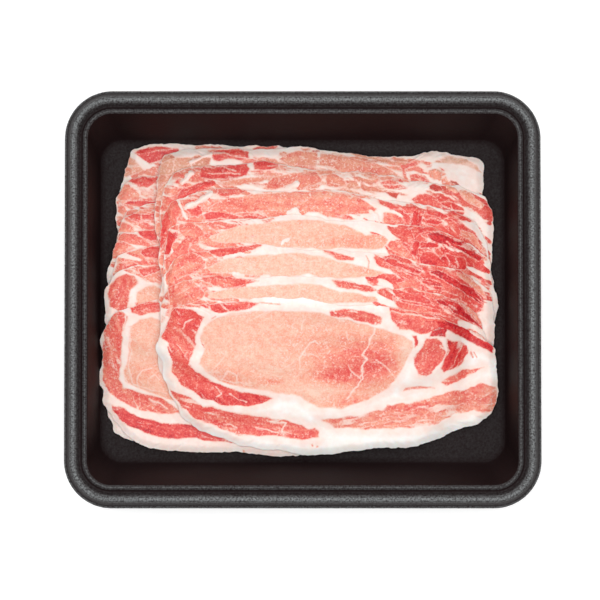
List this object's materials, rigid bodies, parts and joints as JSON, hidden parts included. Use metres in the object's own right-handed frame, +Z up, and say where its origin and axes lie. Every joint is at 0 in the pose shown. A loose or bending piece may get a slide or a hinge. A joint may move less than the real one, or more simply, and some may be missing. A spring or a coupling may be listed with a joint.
{
  "type": "pack of thinly sliced pork",
  "caption": "Open black foam tray with thin slices of pork loin laid in two overlapping columns, each slice resting on those below.",
  "frame": {"origin": "centre of the tray's underside", "axes": "+X along the tray's long side, +Y towards its rear, where the first slices lie, +Z up"},
  "size_m": [0.25, 0.219, 0.034],
  "materials": {
    "tray_foam": "black foam with a faint pebble",
    "pork": "moist, pink lean with white fat"
  },
  "bodies": {
    "root": {"tray": "tray_foam", "slice_left_1": "pork", "slice_left_2": "pork", "slice_left_3": "pork", "slice_left_4": "pork", "slice_left_5": "pork", "slice_left_6": "pork", "slice_left_7": "pork", "slice_left_8": "pork", "slice_right_1": "pork", "slice_right_2": "pork", "slice_right_3": "pork", "slice_right_4": "pork", "slice_right_5": "pork", "slice_right_6": "pork", "slice_right_7": "pork"}
  },
  "joints": []
}
